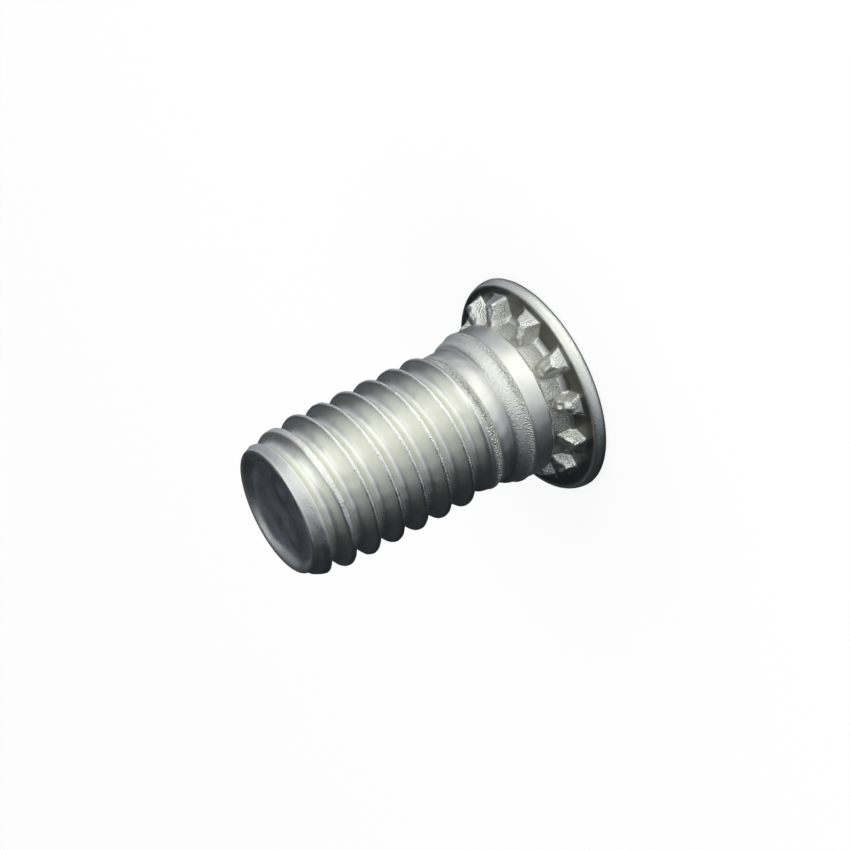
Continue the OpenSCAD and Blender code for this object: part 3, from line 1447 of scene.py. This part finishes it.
@dataclass(frozen=True)
class Surround:
    """The graded bowl that the metal reflects: a sheet on the floor and a dome over it.

    Attributes:
        name: Name of the object and its material.
        around: Pairs of azimuth in degrees and shade, joined by straight lines.
        upward: Pairs of elevation in degrees and the factor that the shade has there.
        contact: Pairs of radius and the factor that the shade has there, for the floor at the head.
        patch: Azimuth, elevation and angular radius in degrees of a soft patch, and its shade.
        front: Azimuth in degrees towards which the shades are drawn together.
        drawn: They are drawn together by the square of this length's ratio to the distance.
        drawn_limit: Upper limit of that share.
        narrowed: By what share a direction counts as farther from the front at the dome's top.
        cool: Shares of the shade that the darkest parts lose in red and gain in blue.
        inner: Inner radius of the floor's sheet.
        outer: Outer radius of the floor's sheet, and radius of the dome.
        top: Height of the dome.
        lift: Height of the sheet above the floor.
        crowding: Power that crowds the sheet's rows towards the head.
        columns: Columns in a whole turn.
        floor_rows: Rows of the sheet.
        dome_rows: Rows of the dome.
    """

    name: str = "surround"
    around: tuple[tuple[float, float], ...] = (
        (0, 0.68), (10, 0.56), (30, 0.46), (50, 0.44), (65, 0.30), (80, 0.07), (95, 0.018),
        (165, 0.018), (187, 0.045), (205, 0.20), (220, 0.38), (235, 0.57), (252, 0.78),
        (270, 1.0), (288, 1.30), (325, 1.36), (345, 1.0), (360, 0.68),
    )
    upward: tuple[tuple[float, float], ...] = ((0, 1.0), (10, 1.0), (25, 0.82), (50, 0.55), (90, 0.45))
    contact: tuple[tuple[float, float], ...] = (
        (0.0, 0.12), (3.02 * MM, 0.12), (3.20 * MM, 1.25), (4.1 * MM, 1.25), (4.7 * MM, 0.80),
        (5.4 * MM, 0.80), (5.8 * MM, 1.05), (6.2 * MM, 0.70), (6.8 * MM, 0.75), (9.0 * MM, 1.0),
    )
    patch: tuple[float, float, float, float] = (90.0, 62.0, 12.0, 0.35)
    front: float = 270.0
    drawn: float = 3.0 * MM
    drawn_limit: float = 0.46
    narrowed: float = 0.7
    cool: tuple[float, float] = (0.10, 0.24)
    inner: float = 2.80 * MM
    outer: float = 60.0 * MM
    top: float = 62.0 * MM
    lift: float = 0.02 * MM
    crowding: float = 1.6
    columns: int = 96
    floor_rows: int = 24
    dome_rows: int = 24

    def profile(self) -> np.ndarray:
        """Works out the bowl's half-section: a straight line, then a quarter of an ellipse.

        Returns:
            Pairs of radius and height.
        """
        share = np.linspace(0.0, 1.0, self.floor_rows + 1)
        flat_radius = self.inner * (self.outer / self.inner) ** (share**self.crowding)
        flat = np.stack([flat_radius, np.full_like(flat_radius, self.lift)], -1)
        rise = np.radians(np.linspace(0.0, 90.0, self.dome_rows + 1)[1:])
        dome = np.stack([self.outer * np.cos(rise), self.lift + self.top * np.sin(rise)], -1)
        return np.concatenate([flat, dome])

    def patch_shade(self, angle: np.ndarray, elevation: np.ndarray) -> np.ndarray:
        """Shade that the patch adds: a bell curve of the angle from the patch's middle.

        Args:
            angle: Angle about the axis, in radians.
            elevation: Angle above the floor, in radians.

        Returns:
            What to add to the shade.
        """
        azimuth, rise, spread = np.radians(self.patch[:3])
        near = np.sin(elevation) * math.sin(rise)
        near = near + np.cos(elevation) * math.cos(rise) * np.cos(angle - azimuth)
        return self.patch[3] * np.exp(-((np.arccos(np.clip(near, -1.0, 1.0)) / spread) ** 2))

    def shades(self, angle: np.ndarray, radius: np.ndarray, height: np.ndarray) -> np.ndarray:
        """Colours of the bowl: three factors and a patch, with the dark parts slightly blue.

        Close to the stud the shades are drawn together towards the front, because a point on its
        round side reflects a place on the floor from beside the axis. High up they are drawn
        together too, so that the bright front is a tall arch.

        Args:
            angle: Angle about the axis, in radians.
            radius: Distance from the axis.
            height: Distance up the axis.

        Returns:
            Red, green, blue and 1 for each point.
        """
        aside = (np.degrees(angle) - self.front + 180.0) % 360.0 - 180.0
        elevation = np.degrees(np.arctan2(height, radius))
        aside = aside * (1.0 + self.narrowed * elevation / 90.0)
        closeness = np.minimum((self.drawn / np.hypot(radius, height)) ** 2, self.drawn_limit)
        aside = np.clip(aside / (1.0 - closeness), -180.0, 180.0)
        shade = np.interp((self.front + aside) % 360.0, *np.transpose(self.around))
        shade = shade * np.interp(elevation, *np.transpose(self.upward))
        shade = shade * np.interp(radius, *np.transpose(self.contact))
        shade = shade + self.patch_shade(angle, np.radians(elevation))
        dark = np.clip(1.0 - shade, 0.0, 1.0)
        red, blue = shade * (1.0 - self.cool[0] * dark), shade * (1.0 + self.cool[1] * dark)
        return np.stack([red, shade, blue, np.ones_like(shade)], axis=-1)

    def build(self) -> bpy.types.Object:
        """Makes the bowl, which only reflections see.

        Returns:
            The bowl's object.
        """
        angle = columns(self.columns)
        section = self.profile()
        radius, height = section[:, :1], section[:, 1:]
        angle, radius, height = np.broadcast_arrays(angle, radius, height)
        points = about_axis(radius, angle, height)
        faces = quads(np.arange(angle.size).reshape(angle.shape))
        mesh = bpy.data.meshes.new(self.name)
        mesh.from_pydata(points.reshape(-1, 3), [], faces.reshape(-1, 4))
        tones = mesh.attributes.new("shade", "FLOAT_COLOR", "POINT")
        tones.data.foreach_set("color", self.shades(angle, radius, height).astype(np.float32).ravel())
        bowl = add_object(self.name, mesh)
        make = Recipe(self.name)
        shade = make.attribute("shade", "Color")
        glow = make.node("Emission", {"Color": shade, "Strength": 1.0})
        mesh.materials.append(make.finish(glow.outputs[0]))
        bowl.visible_camera = bowl.visible_diffuse = bowl.visible_shadow = False
        return bowl


@dataclass(frozen=True)
class Softbox:
    """A square area lamp that looks at the stud.

    Attributes:
        name: Name of the lamp.
        azimuth: Angle about the axis in degrees at which it stands.
        elevation: Angle in degrees above the floor, seen from the target.
        distance: Distance from the target.
        size: Length of its side.
        glow: Its brightness, where 1 looks white in a mirror.
        colour: Colour of its light.
    """

    name: str
    azimuth: float
    elevation: float
    distance: float
    size: float
    glow: float
    colour: Colour = (1.0, 1.0, 1.0)

    def build(self, target: Vector) -> bpy.types.Object:
        """Makes the lamp.

        Args:
            target: The point it looks at.

        Returns:
            The lamp's object, whose power is pi times its area times its glow.
        """
        turn, rise = math.radians(self.azimuth), math.radians(self.elevation)
        away = Vector((math.cos(turn) * math.cos(rise), math.sin(turn) * math.cos(rise), math.sin(rise)))
        data = bpy.data.lights.new(self.name, "AREA")
        data.shape = "SQUARE"
        data.size = self.size
        data.energy = math.pi * self.size**2 * self.glow
        data.color = self.colour
        lamp = add_object(self.name, data)
        lamp.location = target + away * self.distance
        lamp.rotation_mode = "QUATERNION"
        lamp.rotation_quaternion = (-away).to_track_quat("-Z", "Y")
        lamp.visible_camera = False
        return lamp


@dataclass(frozen=True)
class Viewpoint:
    """The camera: in front of the stud and above it, rolled so that the tip is at the left.

    Attributes:
        place: Where it stands.
        tilt: Angle in degrees from looking straight down to its line of sight.
        roll: Angle in degrees that it is turned about its line of sight.
        lens: Focal length in millimetres.
        sensor: Width of the sensor in millimetres.
        clip: Distances from the camera between which things are seen.
    """

    place: tuple[float, float, float] = (0.30 * MM, -46.74 * MM, 24.16 * MM)
    tilt: float = 65.974
    roll: float = -116.47
    lens: float = 86.41
    sensor: float = 36.0
    clip: tuple[float, float] = (1.0 * MM, 10.0)

    def build(self) -> bpy.types.Object:
        """Makes the camera and hands it to the scene.

        Returns:
            The camera's object.
        """
        data = bpy.data.cameras.new("camera")
        data.lens, data.sensor_width = self.lens, self.sensor
        data.clip_start, data.clip_end = self.clip
        camera = add_object("camera", data)
        tilt = Matrix.Rotation(math.radians(self.tilt), 4, "X")
        roll = Matrix.Rotation(math.radians(self.roll), 4, "Z")
        camera.matrix_world = Matrix.Translation(self.place) @ tilt @ roll
        bpy.context.scene.camera = camera
        return camera


@dataclass
class Studio:
    """Floor, surround, lamp, sky and camera round the stud.

    Attributes:
        floor: What the stud stands on.
        surround: What its metal reflects.
        key: The lamp.
        viewpoint: The camera.
        sky: Strength of the plain white sky.
    """

    floor: PaleFloor = PaleFloor()
    surround: Surround = Surround()
    key: Softbox = Softbox("key", azimuth=310, elevation=58, distance=50 * MM, size=30 * MM, glow=1.3)
    viewpoint: Viewpoint = Viewpoint()
    sky: float = 0.95

    def build(self, target: Vector) -> None:
        """Makes everything round the stud.

        Args:
            target: The point that the lamp looks at.
        """
        scene = bpy.context.scene
        self.floor.build()
        self.surround.build()
        self.key.build(target)
        self.viewpoint.build()
        scene.world = bpy.data.worlds.new("sky")
        scene.world.use_nodes = True
        back = scene.world.node_tree.nodes["Background"]
        back.inputs["Color"].default_value = (1.0, 1.0, 1.0, 1.0)
        back.inputs["Strength"].default_value = self.sky
        scene.view_settings.view_transform = "Standard"


def mount(name: str) -> dict:
    """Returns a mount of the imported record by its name."""
    return next(m for m in frame["record"]["mounts"] if m["name"] == name)


def design() -> Stud:
    """Takes the stud's driving sizes from the frame and fits its parts to one another.

    Returns:
        The stud, not built yet.
    """
    low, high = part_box("stud")
    head_radius = (high.x - low.x) / 2
    length = high.z - low.z
    head_thickness = mount("sheet_seat")["pos_m"][2]
    thread_radius = mount("thread")["dims"]["r_mm"] * MM
    neck = Neck()
    collar = Collar()
    head = Head(radius=head_radius, thickness=head_thickness)
    ribs = Ribs(floor=head_thickness, outer=head.flat_radius, neck=neck)
    tip = Tip(length=length)
    thread = Thread(
        crest=thread_radius,
        start=collar.end,
        end=length - tip.edge,
        run_out_radius=collar.radius - collar.shoulder_drop,
    )
    return Stud(head, ribs, neck, collar, thread, tip)


def main() -> None:
    """Builds the stud and its studio, and logs the stud's points and faces."""
    logging.basicConfig(level=logging.INFO, format="%(message)s")
    piece = design().build()
    LOG.info("%s: %d points, %d faces", piece.name, len(piece.data.vertices), len(piece.data.polygons))
    low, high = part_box("stud")
    Studio().build((low + high) / 2)
    LOG.info("studio: floor, surround, lamp and camera")


if __name__ == "__main__":
    main()
